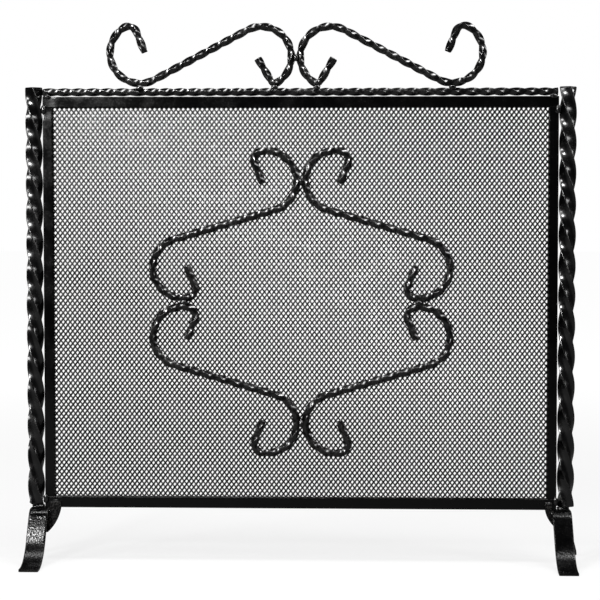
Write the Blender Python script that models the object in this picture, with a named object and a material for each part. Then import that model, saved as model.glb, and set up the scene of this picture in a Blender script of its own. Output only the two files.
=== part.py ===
"""Single-panel wrought iron fireplace screen.

A flat-bar frame holds a wire mesh panel between two twisted posts. Each post stands on a flared
flat-bar foot. Six S-scrolls of thin twisted bar, all bent on the same jig, make a crest of two on the
top rod and a medallion of four in front of the mesh. Every joint is welded, so nothing moves.

Metres, +Z up, X to the right, -Y to the front. The origin is on the floor, in the middle of the screen.
"""

import math

import bmesh
import bpy
import numpy as np

# Play left between pieces that touch, and the share of it that each cutter takes
CLEARANCE = 0.0003

# Frame: two rails and two stiles of flat bar around the opening
OPENING_WIDTH = 0.652
OPENING_HEIGHT = 0.515
STILE_WIDTH = 0.013
RAIL_WIDTH = 0.0147
FRAME_DEPTH = 0.006
FRAME_EDGE_BEVEL = 0.0006
FRAME_FLOOR_GAP = 0.0727

# Posts: square bar twisted over the full length, one each side of the frame
POST_SIDE = 0.0168
POST_CORNER_CHAMFER = 0.0007
POST_TWIST_PITCH = 0.160
POST_GAP = 0.0006
POST_ABOVE_FRAME = 0.0124
POST_BOTTOM_RISE = 0.0045
POST_START_DEGREES = {"left": 23.0, "right": 35.0}

# Thin twisted bar: the top rod and the six scrolls
ROD_SIDE = 0.0080
ROD_TWIST_PITCH = 0.0765
TOP_ROD_GAP = 0.0003
TOP_ROD_LENGTH = 0.677
TOP_ROD_SHIFT = -0.0006

# Scroll jig: half an S runs straight, then around the bow, then around the hook to a straight tail
SCROLL_STRAIGHT = 0.1390
BOW_RADIUS = 0.0395
BOW_DEGREES = 175.0
HOOK_RADIUS = 0.0115
HOOK_DEGREES = 101.0
TAIL_LENGTH = 0.029
CREST_HOOK_RADIUS = 0.0062
CREST_HOOK_DEGREES = 92.0
CREST_TAIL_LENGTH = 0.034
CREST_CENTRE_X = -0.005
CREST_STEEPEST_DEGREES = 60.0
CREST_SLOPE_TRIES = 40
MEDALLION_SLOPE_DEGREES = 16.3
MEDALLION_CENTRE_X = 0.002
MEDALLION_RISE = 0.0015

# Mesh panel behind the frame, and the strips that clamp its edges
MESH_THICKNESS = 0.0012
MESH_OVERLAP = 0.005
STRIP_WIDTH = 0.010
STRIP_THICKNESS = 0.002

# Feet: a front and a rear leg of flat bar under each post
LEG_WIDTH = 0.0254
REAR_LEG_WIDTH = 0.014
LEG_THICKNESS = 0.004
LEG_INSET = 0.0057
LEG_REACH = 0.080
LEG_TOP_HALF = 0.008
LEG_SHOULDER_RADIUS = 0.012
LEG_SLOPE_DEGREES = 70.0
LEG_PAD_LENGTH = 0.008
LEG_REAR_LAP = 0.0015
LEG_SHOULDER_STEPS = 5
LEG_FLARE_STEPS = 7
FRONT_LEG_SPLAY = 0.0038
REAR_LEG_SPLAY = 0.0213

# Gusset: a plate with a curved edge in the corner between the bottom rail and the front leg
GUSSET_THICKNESS = 0.004
GUSSET_REACH = {"left": 0.0153, "right": 0.0085}
GUSSET_RISE = 0.0085
GUSSET_RADIUS = {"left": 0.059, "right": 0.037}
GUSSET_LEAN_DEGREES = 10.0
GUSSET_SWEEP_DEGREES = 37.0
GUSSET_ARC_STEPS = 7
GUSSET_TUCK = 0.006

# Welds: beads and pads of filler on the joints, mostly on the front
POST_WELD_SIZE = (0.0048, 0.0042, 0.0065)
POST_WELD_DROP = 0.017
POST_WELD_RISE = 0.0115
ROD_WELD_SIZE = (0.0055, 0.0026, 0.0034)
ROD_WELD_INSET = 0.006
SCROLL_WELD_SIZE = (0.0052, 0.0026, 0.0038)
WELD_PAD_RADIUS = 0.0088
WELD_PAD_BULGE = 0.0010
WELD_PAD_SHOULDER = 0.3
GUSSET_WELD_SIZE = (0.0052, 0.0022, 0.0020)

# How finely the curved pieces are faceted, and the corners that stay sharp when they are shaded
SHARP_DEGREES = 40.0
RINGS_PER_TURN = 12
BEND_STEP_DEGREES = 20.0
ROUND_SIDES = 16
BEAD_RINGS = 8

# Places worked out from the sizes above
POST_CORNER = POST_SIDE / math.sqrt(2) - POST_CORNER_CHAMFER / math.sqrt(2)
ROD_CORNER = ROD_SIDE / math.sqrt(2)
FRAME_HALF_WIDTH = OPENING_WIDTH / 2 + STILE_WIDTH
FRAME_BOTTOM = FRAME_FLOOR_GAP
OPENING_BOTTOM = FRAME_BOTTOM + RAIL_WIDTH
OPENING_TOP = OPENING_BOTTOM + OPENING_HEIGHT
FRAME_TOP = OPENING_TOP + RAIL_WIDTH
FRAME_FRONT = -FRAME_DEPTH / 2
FRAME_BACK = FRAME_DEPTH / 2
POST_X = FRAME_HALF_WIDTH + POST_GAP + POST_CORNER
POST_BOTTOM = FRAME_BOTTOM + POST_BOTTOM_RISE
POST_TOP = FRAME_TOP + POST_ABOVE_FRAME
TOP_ROD_Z = FRAME_TOP + TOP_ROD_GAP + ROD_CORNER
TOUCHING_RODS = 2 * ROD_CORNER + CLEARANCE
MESH_FRONT = FRAME_BACK + CLEARANCE
MESH_BACK = MESH_FRONT + MESH_THICKNESS
STRIP_FRONT = MESH_BACK + CLEARANCE
STRIP_BACK = STRIP_FRONT + STRIP_THICKNESS
MEDALLION_Y = MESH_FRONT - CLEARANCE - ROD_CORNER
MEDALLION_CENTRE_Z = (OPENING_BOTTOM + OPENING_TOP) / 2 + MEDALLION_RISE
LEG_TOP = FRAME_BOTTOM - CLEARANCE
LEG_X = POST_X - LEG_INSET
SIDES = {"left": -1, "right": 1}


def clear_scene():
    for obj in list(bpy.data.objects):
        bpy.data.objects.remove(obj, do_unlink=True)


def make_material(name, colour, roughness, metallic):
    material = bpy.data.materials.new(name)
    material.use_nodes = True
    shader = material.node_tree.nodes["Principled BSDF"]
    shader.inputs["Base Color"].default_value = (*colour, 1.0)
    shader.inputs["Roughness"].default_value = roughness
    shader.inputs["Metallic"].default_value = metallic
    return material


def link_object(name, shape, material):
    """A named object made of the given shape, shaded smooth except at its corners."""
    mesh = bpy.data.meshes.new(name)
    shape.to_mesh(mesh)
    shape.free()
    mesh.materials.append(material)
    mesh.shade_smooth()
    mesh.set_sharp_from_angle(angle=math.radians(SHARP_DEGREES))
    obj = bpy.data.objects.new(name, mesh)
    bpy.context.scene.collection.objects.link(obj)
    return obj


def add_object(name, points, faces, material):
    """A named object from points and faces, with its normals turned outwards."""
    shape = bmesh.new()
    corners = [shape.verts.new(point) for point in points]
    for face in faces:
        shape.faces.new([corners[index] for index in face])
    bmesh.ops.recalc_face_normals(shape, faces=shape.faces)
    return link_object(name, shape, material)


def add_box(name, low, high, material):
    """A box between two corners."""
    shape = bmesh.new()
    bmesh.ops.create_cube(shape, size=1.0)
    centre = (np.array(low) + np.array(high)) / 2
    size = np.array(high) - np.array(low)
    for vertex in shape.verts:
        vertex.co = centre + size * np.array(vertex.co)
    return link_object(name, shape, material)


def add_bevel(obj, width):
    bevel = obj.modifiers.new("edge_bevel", "BEVEL")
    bevel.width = width
    bevel.segments = 1
    bevel.limit_method = "ANGLE"


def loft(rings):
    """Faces that join equal rings of points in order, closed by a cap at each end."""
    count, sides = len(rings), len(rings[0])
    faces = []
    for ring in range(count - 1):
        for side in range(sides):
            after = (side + 1) % sides
            base = ring * sides
            faces.append((base + side, base + after, base + sides + after, base + sides + side))
    faces.append(tuple(range(sides)))
    faces.append(tuple((count - 1) * sides + side for side in range(sides)))
    return np.concatenate(rings), faces


def square_section(side, chamfer):
    """Corners of a square bar's section, each cut by a small chamfer when there is one."""
    half = side / 2
    if not chamfer:
        return [(half, half), (-half, half), (-half, -half), (half, -half)]
    inner = half - chamfer
    return [
        (half, inner),
        (inner, half),
        (-inner, half),
        (-half, inner),
        (-half, -inner),
        (-inner, -half),
        (inner, -half),
        (half, -inner),
    ]


def twisted_bar(name, path, section, turns_per_metre, start_angle, material):
    """A square bar that turns about its own axis as it follows a path in the plane of the screen.

    path holds one row per ring: x, y, z, heading above the X axis, and length from the start.
    """
    section = np.array(section)
    rings = []
    for x, y, z, heading, length in path:
        across = np.array((-math.sin(heading), 0.0, math.cos(heading)))
        forward = np.array((0.0, -1.0, 0.0))
        turn = start_angle + 2 * math.pi * turns_per_metre * length
        u = section[:, :1] * math.cos(turn) - section[:, 1:] * math.sin(turn)
        v = section[:, :1] * math.sin(turn) + section[:, 1:] * math.cos(turn)
        rings.append(np.array((x, y, z)) + u * across + v * forward)
    points, faces = loft(rings)
    return add_object(name, points, faces, material)


def straight_path(start, heading, length, step):
    """Ring places along a straight bar."""
    count = max(2, math.ceil(length / step) + 1)
    path = []
    for along in np.linspace(0.0, length, count):
        x = start[0] + along * math.cos(heading)
        z = start[2] + along * math.sin(heading)
        path.append((x, start[1], z, heading, along))
    return np.array(path)


def make_posts(material):
    length = POST_TOP - POST_BOTTOM
    step = POST_TWIST_PITCH / RINGS_PER_TURN
    section = square_section(POST_SIDE, POST_CORNER_CHAMFER)
    for name, side in SIDES.items():
        path = straight_path((side * POST_X, 0.0, POST_BOTTOM), math.pi / 2, length, step)
        start = math.radians(POST_START_DEGREES[name])
        twisted_bar(f"post_{name}", path, section, -1 / POST_TWIST_PITCH, start, material)


def make_frame(material):
    boxes = {
        "frame_bottom_rail": ((-FRAME_HALF_WIDTH, FRAME_BOTTOM), (FRAME_HALF_WIDTH, OPENING_BOTTOM)),
        "frame_top_rail": ((-FRAME_HALF_WIDTH, OPENING_TOP), (FRAME_HALF_WIDTH, FRAME_TOP)),
    }
    for name, side in SIDES.items():
        x = sorted((side * OPENING_WIDTH / 2, side * FRAME_HALF_WIDTH))
        low = (x[0], OPENING_BOTTOM + CLEARANCE)
        high = (x[1], OPENING_TOP - CLEARANCE)
        boxes[f"frame_{name}_stile"] = (low, high)
    for name, (low, high) in boxes.items():
        bar = add_box(name, (low[0], FRAME_FRONT, low[1]), (high[0], FRAME_BACK, high[1]), material)
        add_bevel(bar, FRAME_EDGE_BEVEL)


def make_mesh_panel(material):
    half = OPENING_WIDTH / 2 + MESH_OVERLAP
    low = (-half, MESH_FRONT, OPENING_BOTTOM - MESH_OVERLAP)
    high = (half, MESH_BACK, OPENING_TOP + MESH_OVERLAP)
    add_box("mesh_panel", low, high, material)


def make_strips(material):
    """Four strips behind the mesh that hold its edges against the frame."""
    outer = OPENING_WIDTH / 2 + STRIP_WIDTH
    inner = OPENING_WIDTH / 2
    top = OPENING_TOP
    bottom = OPENING_BOTTOM
    spans = {
        "mesh_strip_top": ((-outer, top), (outer, top + STRIP_WIDTH)),
        "mesh_strip_bottom": ((-outer, bottom - STRIP_WIDTH), (outer, bottom)),
        "mesh_strip_left": ((-outer, bottom + CLEARANCE), (-inner, top - CLEARANCE)),
        "mesh_strip_right": ((inner, bottom + CLEARANCE), (outer, top - CLEARANCE)),
    }
    for name, (low, high) in spans.items():
        add_box(name, (low[0], STRIP_FRONT, low[1]), (high[0], STRIP_BACK, high[1]), material)


def make_top_rod(material):
    start = (TOP_ROD_SHIFT - TOP_ROD_LENGTH / 2, 0.0, TOP_ROD_Z)
    path = straight_path(start, 0.0, TOP_ROD_LENGTH, ROD_TWIST_PITCH / RINGS_PER_TURN)
    twisted_bar("top_rod", path, square_section(ROD_SIDE, 0), 1 / ROD_TWIST_PITCH, 0.0, material)


def half_scroll(hook_radius, hook_degrees, tail):
    """Rows of x, z, heading and length for half an S, from the middle of its straight.

    The half starts along +X and turns to the left around the bow and then around the hook.
    """
    bends = (
        (SCROLL_STRAIGHT / 2, None, 0.0),
        (BOW_RADIUS * math.radians(BOW_DEGREES), BOW_RADIUS, BOW_DEGREES),
        (hook_radius * math.radians(hook_degrees), hook_radius, hook_degrees),
        (tail, None, 0.0),
    )
    x, z, heading, total = 0.0, 0.0, 0.0, 0.0
    rows = [(x, z, heading, total)]
    for length, radius, degrees in bends:
        twist_steps = length / (ROD_TWIST_PITCH / RINGS_PER_TURN)
        count = math.ceil(max(twist_steps, degrees / BEND_STEP_DEGREES))
        for step in range(1, count + 1):
            along = length * step / count
            if radius is None:
                new = (x + along * math.cos(heading), z + along * math.sin(heading), heading)
            else:
                turned = heading + along / radius
                new = (
                    x + radius * (math.sin(turned) - math.sin(heading)),
                    z - radius * (math.cos(turned) - math.cos(heading)),
                    turned,
                )
            rows.append((*new, total + along))
        x, z, heading, total = rows[-1]
    return np.array(rows)


def full_scroll(first_half, second_half, slope):
    """A whole S at a slope: the second half is turned half round and runs the other way."""
    back = second_half[:0:-1].copy()
    back[:, 0] *= -1
    back[:, 1] *= -1
    back[:, 3] *= -1
    rows = np.concatenate([back, first_half])
    turned = rows.copy()
    turned[:, 0] = rows[:, 0] * math.cos(slope) - rows[:, 1] * math.sin(slope)
    turned[:, 1] = rows[:, 0] * math.sin(slope) + rows[:, 1] * math.cos(slope)
    turned[:, 2] = rows[:, 2] + slope
    turned[:, 3] -= turned[0, 3]
    return turned


def mirrored_x(rows):
    rows = rows.copy()
    rows[:, 0] *= -1
    rows[:, 2] = math.pi - rows[:, 2]
    return rows


def mirrored_z(rows):
    rows = rows.copy()
    rows[:, 1] *= -1
    rows[:, 2] *= -1
    return rows


def scroll_path(rows, y):
    """Rows for twisted_bar, with the depth put in."""
    depth = np.full((len(rows), 1), y)
    return np.hstack([rows[:, :1], depth, rows[:, 1:]])


def crest_rows():
    """The left crest scroll, at the slope where its outer bow and its inner hook rest level."""
    outer = half_scroll(HOOK_RADIUS, HOOK_DEGREES, TAIL_LENGTH)
    inner = half_scroll(CREST_HOOK_RADIUS, CREST_HOOK_DEGREES, CREST_TAIL_LENGTH)

    def at_slope(slope):
        return mirrored_z(full_scroll(inner, outer, -slope))

    def level_error(slope):
        rows = at_slope(slope)
        middle = rows[:, 0].mean()
        left = rows[rows[:, 0] < middle, 1].min()
        right = rows[rows[:, 0] > middle, 1].min()
        return right - left

    low, high = 0.0, math.radians(CREST_STEEPEST_DEGREES)
    for _ in range(CREST_SLOPE_TRIES):
        slope = (low + high) / 2
        if level_error(slope) > 0:
            high = slope
        else:
            low = slope
    rows = at_slope(low)
    rows[:, 0] -= rows[:, 0].max() + TOUCHING_RODS / 2
    rows[:, 1] += TOP_ROD_Z + TOUCHING_RODS - rows[:, 1].min()
    return rows


def make_crest(material):
    """Two scrolls that stand on the top rod, mirror images, with their inner bows touching."""
    section = square_section(ROD_SIDE, 0)
    left = crest_rows()
    for name, rows in (("left", left), ("right", mirrored_x(left))):
        path = scroll_path(rows + np.array((CREST_CENTRE_X, 0.0, 0.0, 0.0)), 0.0)
        twisted_bar(f"crest_scroll_{name}", path, section, 1 / ROD_TWIST_PITCH, 0.0, material)
    return left


def make_medallion(material):
    """Four scrolls in front of the mesh, mirrored left to right and top to bottom."""
    half = half_scroll(HOOK_RADIUS, HOOK_DEGREES, TAIL_LENGTH)
    upper_left = full_scroll(half, half, math.radians(MEDALLION_SLOPE_DEGREES))
    upper_left[:, 0] -= upper_left[:, 0].max() + TOUCHING_RODS / 2
    upper_left[:, 1] -= upper_left[:, 1].min() - TOUCHING_RODS / 2
    quarters = {
        "upper_left": upper_left,
        "upper_right": mirrored_x(upper_left),
        "lower_left": mirrored_z(upper_left),
        "lower_right": mirrored_z(mirrored_x(upper_left)),
    }
    section = square_section(ROD_SIDE, 0)
    for name, rows in quarters.items():
        rows = rows + np.array((MEDALLION_CENTRE_X, MEDALLION_CENTRE_Z, 0.0, 0.0))
        path = scroll_path(rows, MEDALLION_Y)
        twisted_bar(f"medallion_scroll_{name}", path, section, 1 / ROD_TWIST_PITCH, 0.0, material)
    return upper_left


def leg_profile(top_length):
    """Mid-line of a leg as rows of reach, height and slope.

    Flat on top, round the shoulder, straight down the slope, round the flare to a flat pad.
    The straight and the flare are as long as the leg's reach and drop need.
    """
    slope = math.radians(LEG_SLOPE_DEGREES)
    drop = LEG_TOP - LEG_THICKNESS - LEG_SHOULDER_RADIUS * (1 - math.cos(slope))
    reach = LEG_REACH - LEG_TOP_HALF - LEG_PAD_LENGTH - LEG_SHOULDER_RADIUS * math.sin(slope)
    flare = (reach * math.sin(slope) - drop * math.cos(slope)) / (1 - math.cos(slope))
    straight = (drop * math.sin(slope) - reach * (1 - math.cos(slope))) / (1 - math.cos(slope))
    y, z = LEG_TOP_HALF - top_length, LEG_TOP - LEG_THICKNESS / 2
    rows = [(y, z, 0.0)]
    y = LEG_TOP_HALF
    for step in range(LEG_SHOULDER_STEPS + 1):
        angle = slope * step / LEG_SHOULDER_STEPS
        down = LEG_SHOULDER_RADIUS * (1 - math.cos(angle))
        rows.append((y + LEG_SHOULDER_RADIUS * math.sin(angle), z - down, angle))
    y = rows[-1][0] + straight * math.cos(slope)
    z = rows[-1][1] - straight * math.sin(slope)
    for step in range(LEG_FLARE_STEPS + 1):
        angle = slope * (1 - step / LEG_FLARE_STEPS)
        out = flare * (math.sin(slope) - math.sin(angle))
        down = flare * (math.cos(angle) - math.cos(slope))
        rows.append((y + out, z - down, angle))
    rows.append((LEG_REACH, LEG_THICKNESS / 2, 0.0))
    return rows


def make_leg(name, side, forward, width, splay, top_length, material):
    """Flat bar along the profile. It leans outwards by the splay from its top to the floor."""
    rings = []
    for y, z, slope in leg_profile(top_length):
        lean = splay * (1.0 - z / LEG_TOP)
        centre = side * (LEG_X + lean)
        normal_y, normal_z = math.sin(slope), math.cos(slope)
        ring = []
        for across, through in ((-1, -1), (1, -1), (1, 1), (-1, 1)):
            reach = y + through * normal_y * LEG_THICKNESS / 2
            height = z + through * normal_z * LEG_THICKNESS / 2
            ring.append((centre + across * width / 2, forward * reach, height))
        rings.append(np.array(ring))
    points, faces = loft(rings)
    return add_object(name, points, faces, material)


def make_feet(material):
    """A front leg whose top plate lies under the post, and a rear leg that starts behind the plate."""
    front_top = 2 * LEG_TOP_HALF - LEG_REAR_LAP - CLEARANCE
    for name, side in SIDES.items():
        make_leg(f"front_leg_{name}", side, -1, LEG_WIDTH, FRONT_LEG_SPLAY, front_top, material)
        make_leg(f"rear_leg_{name}", side, 1, REAR_LEG_WIDTH, REAR_LEG_SPLAY, LEG_REAR_LAP, material)


def gusset_outline(reach, radius):
    """Corner points of a gusset, counted inwards from the leg's inner edge, as rows of x and z."""
    under_leg = LEG_TOP - LEG_THICKNESS - CLEARANCE
    top = FRAME_BOTTOM + GUSSET_RISE
    points = [(CLEARANCE, top), (reach, top)]
    lean = math.radians(GUSSET_LEAN_DEGREES)
    for angle in lean + np.radians(np.linspace(0.0, GUSSET_SWEEP_DEGREES, GUSSET_ARC_STEPS + 1)):
        x = reach - radius * (math.cos(lean) - math.cos(angle))
        points.append((x, FRAME_BOTTOM - radius * (math.sin(angle) - math.sin(lean))))
    tuck = min(points[-1][0], 0.0) - GUSSET_TUCK
    points.append((tuck, points[-1][1]))
    points.append((tuck, under_leg))
    points.append((CLEARANCE, under_leg))
    return points


def make_gussets(material):
    """Plates on the front of the bottom rail, whose lower end is tucked in behind the front leg."""
    inner_edge = LEG_X - LEG_WIDTH / 2
    back = FRAME_FRONT - CLEARANCE
    for name, side in SIDES.items():
        outline = gusset_outline(GUSSET_REACH[name], GUSSET_RADIUS[name])
        rings = []
        for y in (back, back - GUSSET_THICKNESS):
            rings.append(np.array([(side * (inner_edge - x), y, z) for x, z in outline]))
        points, faces = loft(rings)
        add_object(f"gusset_{name}", points, faces, material)


def hide_cutter(obj):
    obj.hide_render = True
    obj.display_type = "WIRE"
    return obj


def round_cutter(name, start, end, radius):
    """A guide cylinder that clears a bar of the given radius, from start to end."""
    start, end = np.array(start), np.array(end)
    along = (end - start) / np.linalg.norm(end - start)
    across = np.cross(along, (0.0, 1.0, 0.0))
    forward = np.cross(along, across)
    clear = (radius + CLEARANCE) / math.cos(math.pi / ROUND_SIDES)
    rings = []
    for centre in (start, end):
        ring = []
        for side in range(ROUND_SIDES):
            angle = 2 * math.pi * side / ROUND_SIDES
            ring.append(centre + clear * (math.cos(angle) * across + math.sin(angle) * forward))
        rings.append(np.array(ring))
    points, faces = loft(rings)
    return hide_cutter(add_object(name, points, faces, None))


def box_cutter(name, low, high):
    return hide_cutter(add_box(name, low, high, None))


def add_weld(name, centre, size, cutters, material):
    """An egg-shaped bead of filler, cut back to clear the pieces that it joins."""
    shape = bmesh.new()
    bmesh.ops.create_uvsphere(shape, u_segments=ROUND_SIDES, v_segments=BEAD_RINGS, radius=1.0)
    for vertex in shape.verts:
        vertex.co = np.array(centre) + np.array(size) * np.array(vertex.co)
    bead = link_object(name, shape, material)
    for cutter in cutters:
        cut = bead.modifiers.new(cutter.name, "BOOLEAN")
        cut.operation = "DIFFERENCE"
        cut.object = cutter
    return bead


def make_frame_welds(material):
    """Beads between posts and stiles, and between the top rod's ends and the top rail."""
    grown = FRAME_HALF_WIDTH + POST_GAP
    low = (-grown, FRAME_FRONT - CLEARANCE, FRAME_BOTTOM - CLEARANCE)
    high = (grown, FRAME_BACK + CLEARANCE, FRAME_TOP + CLEARANCE)
    frame = box_cutter("frame_guide", low, high)
    reach = TOP_ROD_LENGTH
    rod = round_cutter("rod_guide", (-reach, 0, TOP_ROD_Z), (reach, 0, TOP_ROD_Z), ROD_CORNER)
    seam_x = (FRAME_HALF_WIDTH + POST_X - POST_CORNER) / 2
    heights = {"top": FRAME_TOP - POST_WELD_DROP, "bottom": FRAME_BOTTOM + POST_WELD_RISE}
    for name, side in SIDES.items():
        x = side * POST_X
        post = round_cutter(f"post_{name}_guide", (x, 0, 0), (x, 0, POST_TOP), POST_CORNER)
        for level, z in heights.items():
            centre = (side * seam_x, FRAME_FRONT, z)
            add_weld(f"post_weld_{level}_{name}", centre, POST_WELD_SIZE, (post, frame), material)
        seam_z = (FRAME_TOP + TOP_ROD_Z - ROD_CORNER) / 2
        rod_end = side * (TOP_ROD_LENGTH / 2 - ROD_WELD_INSET)
        centre = (rod_end + TOP_ROD_SHIFT, FRAME_FRONT - ROD_WELD_SIZE[1] / 2, seam_z)
        add_weld(f"top_rod_weld_{name}", centre, ROD_WELD_SIZE, (rod, frame), material)


def make_scroll_weld(name, centre, level, material):
    """A bead on the front of the place where two thin bars touch, one above the other or side by side."""
    x, y, z = centre
    half = TOUCHING_RODS / 2
    length = 2 * SCROLL_WELD_SIZE[0]
    cutters = []
    for sign in (-1, 1):
        if level:
            start, end = (x - length, y, z + sign * half), (x + length, y, z + sign * half)
        else:
            start, end = (x + sign * half, y, z - length), (x + sign * half, y, z + length)
        cutters.append(round_cutter(f"{name}_guide_{sign + 1}", start, end, ROD_CORNER))
    long_way, deep, short_way = SCROLL_WELD_SIZE
    size = (long_way, deep, short_way) if level else (short_way, deep, long_way)
    add_weld(name, (x, y - ROD_CORNER + deep / 2, z), size, cutters, material)


def lowest_near(rows, low_x, high_x):
    """Where a scroll is lowest between two x places."""
    inside = rows[(rows[:, 0] >= low_x) & (rows[:, 0] <= high_x)]
    return inside[inside[:, 1].argmin(), 0]


def make_crest_welds(left, material):
    """Beads under both ends of each crest scroll, and one between the two inner bows."""
    middle = left[:, 0].mean()
    feet = {
        "outer": lowest_near(left, left[:, 0].min(), middle),
        "inner": lowest_near(left, middle, left[:, 0].max()),
    }
    seam_z = TOP_ROD_Z + TOUCHING_RODS / 2
    for place, x in feet.items():
        for name, side in SIDES.items():
            centre = (CREST_CENTRE_X - side * x, 0.0, seam_z)
            make_scroll_weld(f"crest_weld_{place}_{name}", centre, True, material)
    widest = left[left[:, 0].argmax(), 1]
    make_scroll_weld("crest_weld_middle", (CREST_CENTRE_X, 0.0, widest), False, material)


def make_medallion_welds(upper_left, material):
    """Beads where each medallion scroll touches its two neighbours."""
    beside = upper_left[upper_left[:, 0].argmax(), 1]
    above = upper_left[upper_left[:, 1].argmin(), 0]
    places = {
        "top": (0.0, beside, False),
        "bottom": (0.0, -beside, False),
        "left": (above, 0.0, True),
        "right": (-above, 0.0, True),
    }
    for name, (x, z, level) in places.items():
        centre = (x + MEDALLION_CENTRE_X, MEDALLION_Y, z + MEDALLION_CENTRE_Z)
        make_scroll_weld(f"medallion_weld_{name}", centre, level, material)


def make_foot_welds(material):
    """A round pad of weld between each foot and the end of its post, and a bead over each gusset."""
    bottom = LEG_TOP + CLEARANCE
    top = POST_BOTTOM - CLEARANCE
    inner_edge = LEG_X - LEG_WIDTH / 2
    gusset_top = FRAME_BOTTOM + GUSSET_RISE
    pad_rings = (
        (0.0, WELD_PAD_BULGE),
        (WELD_PAD_SHOULDER, 0.0),
        (1.0 - WELD_PAD_SHOULDER, 0.0),
        (1.0, WELD_PAD_BULGE),
    )
    for name, side in SIDES.items():
        pad_x = side * (FRAME_HALF_WIDTH + CLEARANCE + WELD_PAD_RADIUS)
        rings = []
        for share, inset in pad_rings:
            z = bottom + share * (top - bottom)
            radius = WELD_PAD_RADIUS - inset
            ring = []
            for step in range(ROUND_SIDES):
                angle = 2 * math.pi * step / ROUND_SIDES
                ring.append((pad_x + radius * math.cos(angle), radius * math.sin(angle), z))
            rings.append(np.array(ring))
        points, faces = loft(rings)
        add_object(f"foot_weld_{name}", points, faces, material)
        x = side * (inner_edge - GUSSET_REACH[name] / 2)
        long_way, deep, high_way = GUSSET_WELD_SIZE
        around = 2 * long_way
        low = (x - around, FRAME_FRONT - CLEARANCE, gusset_top - around)
        rail = box_cutter(f"rail_{name}_guide", low, (x + around, FRAME_BACK, gusset_top + around))
        front = FRAME_FRONT - 2 * CLEARANCE - GUSSET_THICKNESS
        low = (x - around, front, gusset_top - around)
        high = (x + around, FRAME_BACK, gusset_top + CLEARANCE)
        plate = box_cutter(f"gusset_{name}_guide", low, high)
        centre = (x, FRAME_FRONT - deep, gusset_top + CLEARANCE)
        add_weld(f"gusset_weld_{name}", centre, (long_way, deep, high_way), (rail, plate), material)


def main():
    clear_scene()
    iron = make_material("painted_iron", (0.012, 0.012, 0.013), 0.35, 0.0)
    wire = make_material("mesh_wire", (0.02, 0.02, 0.02), 0.45, 0.0)
    weld = make_material("painted_weld", (0.014, 0.014, 0.015), 0.3, 0.0)
    make_posts(iron)
    make_frame(iron)
    make_mesh_panel(wire)
    make_strips(iron)
    make_top_rod(iron)
    crest = make_crest(iron)
    medallion = make_medallion(iron)
    make_feet(iron)
    make_gussets(iron)
    make_frame_welds(weld)
    make_crest_welds(crest, weld)
    make_medallion_welds(medallion, weld)
    make_foot_welds(weld)


if __name__ == "__main__":
    main()
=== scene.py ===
import logging
import math
from dataclasses import dataclass, field
from enum import Enum

import bmesh
import bpy
import numpy as np
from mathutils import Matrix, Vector


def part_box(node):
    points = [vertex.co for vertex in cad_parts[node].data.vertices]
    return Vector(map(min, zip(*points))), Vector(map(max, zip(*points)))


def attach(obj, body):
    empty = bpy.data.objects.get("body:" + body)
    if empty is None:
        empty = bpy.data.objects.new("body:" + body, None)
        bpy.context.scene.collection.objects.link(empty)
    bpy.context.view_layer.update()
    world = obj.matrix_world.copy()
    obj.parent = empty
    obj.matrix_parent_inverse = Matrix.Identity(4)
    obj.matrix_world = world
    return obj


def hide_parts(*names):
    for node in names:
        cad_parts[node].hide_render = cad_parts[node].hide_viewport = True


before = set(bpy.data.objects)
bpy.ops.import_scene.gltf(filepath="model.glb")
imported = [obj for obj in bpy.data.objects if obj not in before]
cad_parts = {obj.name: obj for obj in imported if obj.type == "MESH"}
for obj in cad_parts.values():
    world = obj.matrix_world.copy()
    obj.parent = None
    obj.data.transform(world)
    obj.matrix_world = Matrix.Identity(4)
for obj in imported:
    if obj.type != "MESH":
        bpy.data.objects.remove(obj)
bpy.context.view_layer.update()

# A wrought iron fireplace screen: a flat-bar frame with a wire mesh panel stands between two
# twisted posts on flared feet. Thin twisted bar makes the top rod, the crest of two scrolls and the
# medallion of four. Metres, +Z up, the front faces -Y. Every place comes from the boxes of the
# frame's nodes.

ROOT = "root"
FRONT = np.array((0.0, -1.0, 0.0))
# Faces that meet at more than this keep a sharp edge, on bars and on rounded pieces
BAR_SHARP_DEGREES = 50.0
ROUND_SHARP_DEGREES = 100.0
# Waves of the hand-made unevenness: times shorter than the longest, size, shift by the seed, start
UNEVEN_WAVES = ((1.0, 1.0, 1.7, 0.0), (2.3, 0.6, 2.9, 1.0), (4.1, 0.35, 0.6, 2.0))
# Waves over a weld bead: size, times around, times down, shift by the seed
BEAD_WAVES = ((1.0, 3, 5, 1), (0.7, 5, -7, 2), (0.5, 2, 11, 3))
log = logging.getLogger("fireplace_screen")


class Slot(Enum):
    """Names of the material slots."""

    IRON = "painted_iron"
    WIRE = "mesh_wire"
    WELD = "painted_weld"


class Side(Enum):
    """The two ends of the screen, with the sign of their X."""

    LEFT = -1
    RIGHT = 1

    @property
    def word(self) -> str:
        """The side's name as the nodes spell it."""
        return self.name.lower()


class Axis(Enum):
    """The way that a straight bar runs."""

    X = 0
    Z = 2


# ---------------------------------------------------------------- measuring and joining


def node_box(node: str) -> tuple[np.ndarray, np.ndarray]:
    """Lowest and highest corner of a node.

    Args:
        node: The node's name.

    Returns:
        Two arrays of X, Y and Z in metres.
    """
    low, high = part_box(node)
    return np.array(low, float), np.array(high, float)


def node_centre(node: str) -> np.ndarray:
    """Middle of a node's box, in metres."""
    low, high = node_box(node)
    return (low + high) / 2


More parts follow.
